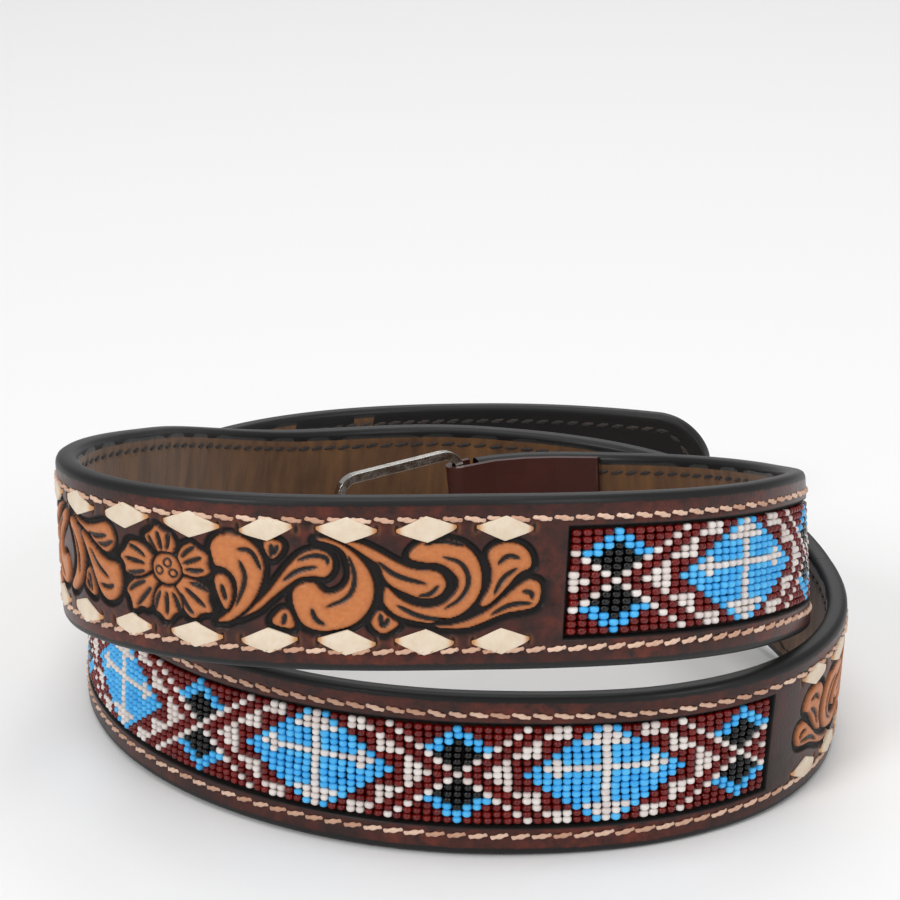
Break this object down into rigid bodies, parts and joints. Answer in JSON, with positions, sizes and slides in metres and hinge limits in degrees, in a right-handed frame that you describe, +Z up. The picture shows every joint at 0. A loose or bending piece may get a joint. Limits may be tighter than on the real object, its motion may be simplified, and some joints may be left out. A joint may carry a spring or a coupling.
{
  "type": "beaded leather belt",
  "caption": "Coiled western leather belt with loom-beaded windows, tooled floral fields, rawhide buckstitch lacing, stitched edges and a plain buckle.",
  "frame": {"origin": "on the surface that the coil rests on, below the middle of its bounding box", "axes": "+Z up, across the strap's width; -Y towards the viewer of the picture; +X to the right"},
  "size_m": [0.1972, 0.2468, 0.0913],
  "materials": {
    "outer_leather": "dark brown waxed leather with a black painted edge",
    "suede_lining": "brown suede",
    "black_lining": "smooth black leather",
    "seed_beads": "opaque glossy glass seed beads in blue, red, white and black",
    "rawhide": "pale rawhide",
    "nickel": "plain nickel"
  },
  "bodies": {
    "root": {"outer_strap": "outer_leather", "lining": "suede_lining", "billet_lining": "black_lining", "bead_panel_front": "seed_beads", "bead_panel_hidden": "seed_beads", "bead_panel_low": "seed_beads", "lace_front_upper": "rawhide", "lace_front_lower": "rawhide", "lace_low_upper": "rawhide", "lace_low_lower": "rawhide", "lace_back_upper": "rawhide", "lace_back_lower": "rawhide", "buckle_fold": "outer_leather", "buckle": "nickel", "fold_snap_1": "nickel", "fold_snap_2": "nickel"}
  },
  "joints": []
}
